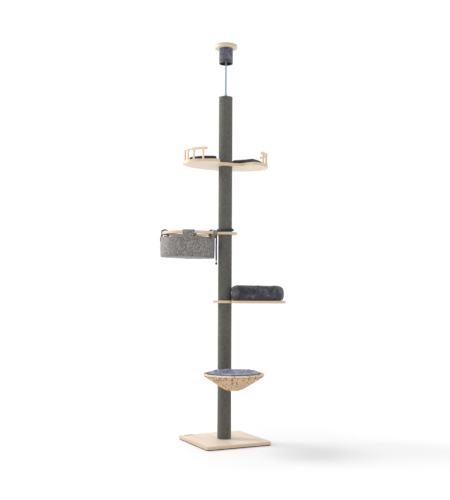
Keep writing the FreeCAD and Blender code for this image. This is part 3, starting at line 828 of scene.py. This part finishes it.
def pad(node, name, material, body, voxel, shrink, cap, waves, seams, at_post=None):
    """A cushion swollen from its CAD solid, with its sewn lines and its pile."""
    obj = copied(node, name)
    swollen(obj, voxel, shrink, cap)
    if at_post:
        pressed_to_post(obj, at_post)
    for height, depth, width in seams:
        grooved(obj, height, depth, width)
    ruffled(obj, *waves)
    smooth_faces(obj)
    settle(obj, material, body, [node])
    return obj


def pads(slate, blue):
    """The platform's, the bed's and the basket's cushions."""
    low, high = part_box("platform_cushion")
    pile = [(7 * MM, 0.9 * MM), (3 * MM, 0.5 * MM)]
    pad("platform_cushion", "platform_pad_plush", slate, "platform_pad", 5 * MM, 4 * MM,
        8 * MM, [(60 * MM, 2.5 * MM)] + pile, [((low.z + high.z) / 2, 3 * MM, 2.5 * MM)])
    low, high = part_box("bed_bolster")
    pad("bed_bolster", "bed_bolster_plush", slate, "bed", 6 * MM, 5 * MM, 12 * MM,
        [(70 * MM, 6 * MM), (25 * MM, 2.5 * MM)] + pile, [(low.z + 16 * MM, 4 * MM, 4 * MM)],
        at_post=Arm("bed_bolster"))
    pad("bed_pad_inner", "bed_floor_plush", slate, "bed", 5 * MM, 3 * MM, 7 * MM,
        [(50 * MM, 3 * MM)] + pile, [])
    low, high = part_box("basket_cushion")
    return pad("basket_cushion", "basket_pad_plush", blue, "basket_pad", 5 * MM,
               4 * MM, 7 * MM, [(60 * MM, 5 * MM), (22 * MM, 2 * MM)] + pile,
               [(high.z - 9 * MM, 3 * MM, 2.5 * MM)])


SECTORS = 90


def piping(cushion, material):
    """The navy cord sewn along the outer edge of the basket cushion's lip."""
    centre = middle("basket_cushion")
    places = points_of(cushion) - np.array(centre)
    out = np.hypot(places[:, 0], places[:, 1])
    around = (np.arctan2(places[:, 1], places[:, 0]) + TAU) % TAU
    sector = (around / TAU * SECTORS).astype(int) % SECTORS
    edge = [max(zip(out[sector == i], places[sector == i, 2]), key=sum) for i in range(SECTORS)]
    edge = sum(np.roll(edge, shift, 0) for shift in range(-3, 4)) / 7
    turn = turn_of(360)
    middles = TAU * (np.arange(SECTORS + 2) - 0.5) / SECTORS
    radius, height = [np.interp(turn, middles, [side[-1], *side, side[0]]) for side in edge.T]
    path = polar(radius - 1 * MM, turn, centre.z + height - 1.5 * MM, centre)
    shape = Shape()
    twisted(shape, path, 2, 2.2 * MM, 1.5 * MM, 11 * MM, closed=True)
    shape.piece("cushion_piping", material, "basket_pad", "plush_blue")


# ---- the felt hammock ----

# the tabs' angles about the hoop, widths in mm, and how far each stands off the hoop in mm
TAB_PLACES = [(0.0, 75, 13), (90.0, 75, 3), (-90.0, 75, 3), (155.5, 43, 8), (-155.5, 43, 8)]
HOOP_WIDTH = 35 * MM


class Hammock:
    """The hammock's round parts, in its arm's directions."""

    def __init__(self):
        self.arm = Arm("hammock_bag")
        low, high = self.arm.span("hammock_bag")
        self.radius = (high[1] - low[1]) / 2
        self.reach = low[0] + self.radius
        self.bottom, self.top = low[2], high[2]
        board_low, board_high = self.arm.span("hammock_board")
        self.hoop_radius = (board_high[1] - board_low[1]) / 2
        self.hoop_reach = board_high[0] - self.hoop_radius
        self.board_low, self.board_high = board_low[2], board_high[2]
        self.hoop_inner = self.hoop_radius - HOOP_WIDTH

    def wall_from_hoop(self, angle):
        """How far the bag's wall is from the hoop's middle, at an angle about it."""
        off = self.reach - self.hoop_reach
        return off * np.cos(angle) + np.sqrt(self.radius ** 2 - (off * np.sin(angle)) ** 2)

    def around_hoop(self, radius, angle, height):
        """Row-frame points given about the hoop's middle."""
        return self.arm.row(polar(radius, angle, height, (self.hoop_reach, 0)))

    def around_bag(self, radius, angle, height):
        """Row-frame points given about the bag's middle."""
        return self.arm.row(polar(radius, angle, height, (self.reach, 0)))


FELT = 4 * MM
BAG_TILT = 9 * MM


def bag_wall(ham, material):
    """The bag's wall, hanging a little slack between its tabs, hemmed at its foot."""
    angle = turn_of(256)
    outer = np.linspace(ham.bottom + 5 * MM, ham.top - 1.5 * MM, 22)
    lip = [(0, ham.bottom + 1.5 * MM), (-1 * MM, ham.bottom)]
    crest = [(-1 * MM, ham.top), (-FELT + 1 * MM, ham.top), (-FELT, ham.top - 1.5 * MM)]
    foot = [(-FELT, ham.bottom + 5 * MM), (-FELT + 1 * MM, ham.bottom)]
    outside = [(0, z) for z in outer]
    inside = [(-FELT, z) for z in outer[::-1][1:]]
    section = np.array(lip[::-1] + outside + crest + inside + foot)
    share = (section[:, 1] - ham.bottom) / (ham.top - ham.bottom)
    off = ham.reach - ham.hoop_reach
    hoop_angle = np.arctan2(ham.radius * np.sin(angle), off + ham.radius * np.cos(angle))
    held = np.zeros(256)
    for place, width, _ in TAB_PLACES:
        gap = np.abs((hoop_angle - math.radians(place) + math.pi) % TAU - math.pi) * ham.radius
        held = np.maximum(held, np.exp(-(gap / (width * MM * 0.75)) ** 4))
    slack = 1 - held
    ripple = unevenness(angle, 3.2, 0.3)
    bulge = 2.5 * MM * np.sin(math.pi * share)[:, None]
    bulge = bulge + 5 * MM * (share ** 2)[:, None] * (slack * ripple)[None]
    radius = ham.radius + section[:, :1] - 2.5 * MM + bulge
    drop = -4.5 * MM * (share ** 3)[:, None] * (slack ** 2)[None]
    low_wave = 1.2 * MM * ((1 - share) ** 3)[:, None] * ripple[None]
    raised = BAG_TILT * ((1 - share) ** 1.5)[:, None] * (0.5 + 0.5 * np.cos(angle))[None]
    height = section[:, 1:] + drop + low_wave + raised
    shape = Shape()
    shape.grid(ham.around_bag(radius, angle, height), rows_close=True, columns_close=True)
    wall = shape.piece("bag_wall_felt", material, "hammock", "grey_felt", ["hammock_bag"])
    return wall, (radius, height)


def bag_bottom(ham, material):
    """The round bottom, sagging in the middle."""
    radius = ham.radius - FELT - 2 * MM
    rings = radius * np.array([1, 0.985, 0.95, 0.88, 0.78, 0.66, 0.53, 0.4, 0.27, 0.14, 0.04])
    angle = turn_of(160)
    sag = 7 * MM * (1 - (rings / radius) ** 2)
    upper = ham.bottom + FELT + 1 * MM - sag
    lower = upper - 3.5 * MM
    section = np.concatenate([np.stack([rings, upper], 1), np.stack([rings, lower], 1)[::-1]])
    raised = BAG_TILT * (0.5 + 0.5 * section[:, :1] / radius * np.cos(angle))
    grid = ham.around_bag(section[:, :1], angle, section[:, 1:] + raised)
    shape = Shape()
    shape.grid(grid, rows_close=True, columns_close=True)
    bottom = shape.piece("bag_bottom_felt", material, "hammock", "grey_felt")
    ruffled(bottom, (40 * MM, 1.5 * MM))
    return bottom


TAB_THICK = 3.4 * MM


def tab_path(ham, angle, rise):
    """A tab's middle line, as (out, up): sewn to the wall, over the hoop, and back under it."""
    wall = float(ham.wall_from_hoop(angle)) + TAB_THICK / 2 - 1.2 * MM
    outer = ham.hoop_radius + 0.7 * MM + TAB_THICK / 2
    inner = ham.hoop_inner - 0.7 * MM - TAB_THICK / 2
    top = ham.board_high + 0.7 * MM + TAB_THICK / 2
    under = ham.top + 3.5 * MM
    crown = top + (0.8 + rise) * MM
    shoulder = top - 6 * MM + 0.5 * rise * MM
    return softened([(wall, ham.top - 30 * MM), (wall, ham.top - 8 * MM),
                     (outer, ham.board_low - 1 * MM), (outer + 0.2 * rise * MM, shoulder),
                     (outer - 4 * MM, (shoulder + 2 * crown) / 3),
                     ((outer + inner) / 2, crown), (inner + 4 * MM, (shoulder + 2 * crown) / 3),
                     (inner, shoulder), (inner, under + 5 * MM),
                     (inner + 5 * MM, under), (outer - 14 * MM, under)], 3)


def outward(path):
    """Unit directions square to a path of (out, up) points."""
    along = np.gradient(path, axis=0)
    along /= np.linalg.norm(along, axis=1)[:, None]
    return np.stack([along[:, 1], -along[:, 0]], 1)


def strip(shape, ham, angles, rise):
    """A band of felt swept along the tab's path at each of several angles about the hoop."""
    rows = []
    for angle in angles:
        path = tab_path(ham, angle, rise)
        square = outward(path) * TAB_THICK / 2
        section = np.concatenate([path + square, (path - square)[::-1]])
        rows.append(ham.around_hoop(section[:, 0], angle, section[:, 1]))
    grid = np.stack(rows)
    index = shape.grid(grid, columns_close=True)
    half = grid.shape[1] // 2
    for end, flip in ((index[0], False), (index[-1], True)):
        for i in range(half - 1):
            quad = [int(end[i]), int(end[i + 1]), int(end[-2 - i]), int(end[-1 - i])]
            shape.faces.append(quad if flip else quad[::-1])


def tabs(ham, material, yarn):
    """Five felt tabs that carry the bag, each with sewn edges."""
    felts = []
    for number, (place, width, rise) in enumerate(TAB_PLACES, 1):
        half = width * MM / 2 / ham.hoop_radius
        centre = math.radians(place)
        shape, sewing = Shape(), Shape()
        angles = np.linspace(centre - half, centre + half, 16)
        strip(shape, ham, angles, rise)
        felts.append(shape.piece(f"felt_tab_{number}", material, "hammock", "grey_felt",
                                 ["hammock_tabs"] if number == 1 else []))
        inset = 4 * MM / ham.hoop_radius
        for a in (centre - half + inset, centre + half - inset):
            path = tab_path(ham, a, rise)
            outside = path + outward(path) * (TAB_THICK / 2 + 0.1 * MM)
            stitches(sewing, ham.around_hoop(outside[:, 0], a, outside[:, 1]))
        for drop in (4 * MM, 20 * MM):
            a = np.linspace(centre - half + inset, centre + half - inset, 12)
            out = ham.wall_from_hoop(a) + TAB_THICK - 1.1 * MM
            stitches(sewing, ham.around_hoop(out, a, np.full(12, ham.top - 30 * MM + drop)))
        sewing.piece(f"tab_stitches_{number}", yarn, "hammock", "grey_felt")
    return felts


def stitches(shape, path, length=4.2 * MM, gap=2.2 * MM, thick=0.55 * MM):
    """A row of stitches along a path."""
    along = lengths(path)
    count = int(along[-1] // (length + gap))
    start = (along[-1] - count * (length + gap) + gap) / 2
    for i in range(count):
        at = start + i * (length + gap) + length * np.array([0.0, 0.2, 0.5, 0.8, 1.0])
        line = np.stack([np.interp(at, along, path[:, k]) for k in range(3)], 1)
        shape.tube(line, thick * np.array([0.35, 0.9, 1.0, 0.9, 0.35]), 6)


def bag_stitching(ham, hang, yarn):
    """Two rows of stitches low on the wall and one along its top."""
    radius, height = hang
    shape = Shape()
    section_heights = height.mean(1)
    count = radius.shape[1]
    angle = TAU * np.arange(count + 1) / count
    for level in (ham.bottom + 11 * MM, ham.bottom + 16 * MM, ham.top - 7 * MM):
        row = int(np.argmin(np.abs(section_heights[:26] - level)))
        out = np.append(radius[row], radius[row][0]) + 0.1 * MM
        z = np.append(height[row], height[row][0])
        stitches(shape, ham.around_bag(out, angle, z))
    shape.piece("bag_stitches", yarn, "hammock", "grey_felt")


def patches(ham, material):
    """Hook-and-loop patches on the tabs' inner side, their faces set with hooks."""
    low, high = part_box("hook_loop_patches")
    shape = Shape()
    for place, width, _ in TAB_PLACES:
        half = 0.4 * width * MM / ham.hoop_radius
        across = np.linspace(math.radians(place) - half, math.radians(place) + half, 48)
        up = np.linspace(low.z, high.z, 16)
        front = ham.hoop_inner - 0.7 * MM - FELT - 1.5 * MM
        hooks = 0.5 * MM * (np.arange(16)[:, None] % 2) * (np.arange(48)[None] % 2)
        edge = np.zeros((16, 48))
        edge[0], edge[-1], edge[:, 0], edge[:, -1] = 1, 1, 1, 1
        out = front - hooks * (1 - edge) + 1.4 * MM * edge
        face = ham.around_hoop(out, across[None], np.broadcast_to(up[:, None], (16, 48)))
        back = ham.around_hoop(np.full((16, 48), front + 1.5 * MM), across[None],
                               np.broadcast_to(up[:, None], (16, 48)))
        shape.grid(face)
        shape.grid(back[:, ::-1])
    shape.piece("hook_tape", material, "hammock", "hook_loop", ["hook_loop_patches"], smooth=False)


ROPE = 11 * MM
STRANDS = (2.9 * MM, 2.6 * MM, 30 * MM)


def rope_pieces(ham, material):
    """The fixed part of the play rope: two turns round the post, then down through the board."""
    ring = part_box("post_wrap_4")[1].x + ROPE / 2 + 0.4 * MM
    exit_point = middle("play_rope")
    x = math.hypot(exit_point.x, exit_point.y)
    right = -HEADING - ham.arm.turn
    sweep = np.radians(np.arange(24, 724, 4.0))
    lift = 2.5 * MM * (1 + np.cos(sweep - right))
    level = ham.board_high + ROPE / 2 + 0.6 * MM
    climb = np.interp(sweep, [sweep[0], sweep[-1]], [0, 0.97 * ROPE])
    turns = polar(ring, sweep, level + lift + climb)
    lead = softened([(x, 0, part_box("rope_wrap")[0].z - 2.5 * MM), (x, 0, level - 9 * MM),
                     (x - 2.5 * MM, 5 * MM, level + 1 * MM), tuple(turns[0])], 3)
    path = ham.arm.row(resampled(np.concatenate([lead[:-1], turns]), 1.2 * MM))
    shape = Shape()
    twisted(shape, path, 3, *STRANDS)
    shape.piece("rope_on_post", material, "hammock", "black_rope", ["rope_wrap"])


def resampled(path, gap):
    """A path with its points evenly apart."""
    along = lengths(path)
    at = np.linspace(0, along[-1], max(2, round(along[-1] / gap)))
    return np.stack([np.interp(at, along, path[:, k]) for k in range(3)], 1)


# the hanging rope's route in the hammock's own directions, from the board down
ROPE_ROUTE = [(57.0, 0.0, 1338.0), (57.8, 0.5, 1279.0), (57.6, -0.8, 1229.0), (57.0, 0.0, 1180.0)]


def play_rope(ham, material):
    """The free end of the rope, on its own smooth line; its ferrule and ball keep their CAD shapes."""
    route = ham.arm.row(np.array(ROPE_ROUTE) * MM)
    curve = bpy.data.curves.new("rope_line", "CURVE")
    curve.dimensions = "3D"
    spline = curve.splines.new("NURBS")
    spline.points.add(len(route) - 1)
    for point, place in zip(spline.points, route):
        point.co = (*place, 1)
    spline.order_u = 3
    spline.use_endpoint_u = True
    spline.resolution_u = 24
    line = bpy.data.objects.new("rope_line", curve)
    SCENE.collection.objects.link(line)
    bpy.context.view_layer.update()
    mesh = bpy.data.meshes.new_from_object(line)
    path = np.array([v.co[:] for v in mesh.vertices])
    bpy.data.objects.remove(line)
    fine = resampled(path, 1.2 * MM)
    shape = Shape()
    twisted(shape, fine, 3, *STRANDS)
    rope = shape.piece("play_rope_strands", material, "rope_toy", "black_rope", ["play_rope"])


# ---- the basket ----

STAKES = 72
WEAVE_THICK = 2.2 * MM


class Basket:
    """The basket's round parts, about its own middle."""

    def __init__(self):
        rim = middle("basket_rim")
        self.centre = np.array([rim.x, rim.y, 0])
        low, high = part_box("basket_rim")
        self.rim_thick = (high.z - low.z) / 2
        self.rim_radius = (high.x - low.x) / 2 - self.rim_thick
        self.rim_height = rim.z
        low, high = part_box("basket_bowl")
        self.floor, self.top = low.z, high.z
        self.radius = (high.x - low.x) / 2

    def height(self, radius):
        """The woven wall's height at a radius: nearly flat in the middle, then an even slope."""
        start, soft, wall = 40 * MM, 24 * MM, 3.4 * MM
        slope = (self.top - self.floor) / (self.radius - start)
        off = np.asarray(radius) - start
        return self.floor + wall + slope * (off + np.sqrt(off ** 2 + soft ** 2)) / 2 - slope * 0.8 * MM

    def slope(self, radius):
        """Square directions to the wall: (out, up)."""
        step = 0.5 * MM
        rise = (self.height(radius + step) - self.height(radius - step)) / (2 * step)
        length = np.sqrt(1 + rise ** 2)
        return -rise / length, 1 / length


def weave(basket, material):
    """The bowl: stakes from the middle out, and weavers in front of one stake and behind the next."""
    shape = Shape()
    stake_r = np.linspace(14 * MM, basket.rim_radius + 1 * MM, 34)
    for i in range(STAKES):
        inner = stake_r if i % 2 == 0 else stake_r[stake_r > 75 * MM]
        path = polar(inner, TAU * i / STAKES, basket.height(inner)) + basket.centre
        shape.tube(path, 1.7 * MM, 5, number=i * 0.37)
    slant, radius, rings = 4.7 * MM, 16 * MM, []
    while radius < basket.rim_radius - 1 * MM:
        rings.append(radius)
        radius += slant * float(basket.slope(radius)[1])
    for k, ring in enumerate(rings):
        stakes = STAKES if ring > 75 * MM else STAKES // 2
        count = STAKES * 5
        angle = turn_of(count)
        wave = np.cos(stakes / 2 * angle + math.pi * k)
        wave = np.sign(wave) * np.abs(wave) ** 0.8
        wander = unevenness(angle, 2, k * 1.7)
        out, up = basket.slope(ring)
        swing = 2.7 * MM * wave * min(1.0, ring / (60 * MM))
        r = ring + swing * out + 0.9 * MM * wander
        z = basket.height(ring) + swing * up + 0.6 * MM * wander
        path = polar(r, angle, z) + basket.centre
        thick = WEAVE_THICK * (1 + 0.16 * np.roll(wander, count // 3))
        shape.tube(path, thick, 6, closed=True, number=k * 1.37)
    for ring in (3 * MM, 8 * MM, 12.5 * MM):
        path = circle(ring, 40, float(basket.height(ring))) + basket.centre
        shape.tube(path, 2.5 * MM, 6, closed=True, number=ring * 500)
    shape.piece("basket_weave", material, "basket", "woven_fibre", ["basket_bowl"])


def rim_braid(basket, material):
    """The border: fibre strands laid round the steel hoop."""
    path = circle(basket.rim_radius, 480, basket.rim_height) + basket.centre
    shape = Shape()
    twisted(shape, path, 4, 3.2 * MM, basket.rim_thick - 6.0 * MM, 46 * MM, closed=True)
    shape.piece("basket_border", material, "basket", "woven_fibre", ["basket_rim"])


# ---- the whole tree ----

camera()
floor_and_light()

ham = Hammock()
basket = Basket()

# each plush's third colour is a painted highlight: the sheen of leaning pile
slate = plush("slate_plush", (28, 26, 32), (52, 50, 59), (118, 120, 134))
head_slate = plush("slate_sleeve", (54, 52, 62), (90, 88, 102), (140, 142, 156), 80.0)
blue = plush("blue_plush", (72, 80, 108), (124, 132, 158), (188, 194, 210))
navy = plush("navy_piping", (20, 26, 46), (34, 42, 68), (60, 68, 96), 400.0)
cord = heathered_cord("wound_cord")
grey_felt = felt("grey_felt")
yarn = thread("sewing_yarn", (96, 93, 90))
black = laid_rope("black_rope", (14, 14, 16), (40, 40, 44))
tan = fibre("tan_fibre")

give(rubber("mat_rubber", (30, 30, 32), 500.0), "floor_mat")
give(plywood("base_board_wood", "base_board", math.radians(90), 15,
             ((206, 190, 168), (220, 206, 189), (200, 180, 155))), "base_board")
for name, board, turn, plies in (("platform_ply", "platform_board", 0.0, 13),
                                 ("hammock_ply", "hammock_board", ham.arm.turn, 11),
                                 ("shelf_ply", "shelf_board", Arm("bed_bolster").turn, 11),
                                 ("hub_ply", "basket_hub", Arm("basket_rim").turn, 11),
                                 ("ceiling_ply", "ceiling_board", 0.4, 13)):
    give(plywood(name, board, turn, plies), board)
give(turned_wood("rail_beech", (0, -8 * MM)), "left_rail", "right_rail")
give(turned_wood("baluster_beech"), "left_balusters", "right_balusters")
give(raw_wood("plug_wood"), "post_plugs", "post_top_plug", "head_plug")
# the head's core is darkened to three tenths: painted shade inside the plush sleeve
give(card("painted_shade_card", 0.3), "head_core")
give(card("card_tube"), *[f"post_core_{i}" for i in range(1, 6)])
give(zinc("plain_zinc", (172, 176, 178)), "base_bolt", "level_studs", "spindle_insert", "head_washer",
     "head_nut", "head_screws", "lock_nut", "basket_hoop", "rope_ferrule")
give(plate("badge_metal", (74, 66, 60)), "base_badge")
give(rubber("ceiling_pad_foam", (112, 110, 96), 700.0), "ceiling_pad")
give(rubber("ball_rubber", (20, 20, 22), 1500.0), "toy_ball")

post_cords(cord)
spindle(zinc("blue_zinc", (128, 164, 174), (500, 500, 60)))
head_sleeve(head_slate)
piping(pads(slate, blue), navy)
wall, hang = bag_wall(ham, grey_felt)
bottom = bag_bottom(ham, grey_felt)
felts = tabs(ham, grey_felt, yarn)
bag_stitching(ham, hang, yarn)
patches(ham, tape("hook_tape"))
rope_pieces(ham, black)
play_rope(ham, black)
weave(basket, tan)
rim_braid(basket, tan)

for felt_piece, (place, width, rise) in zip(felts, TAB_PLACES):
    fold = lengths(tab_path(ham, math.radians(place), rise))[-1]
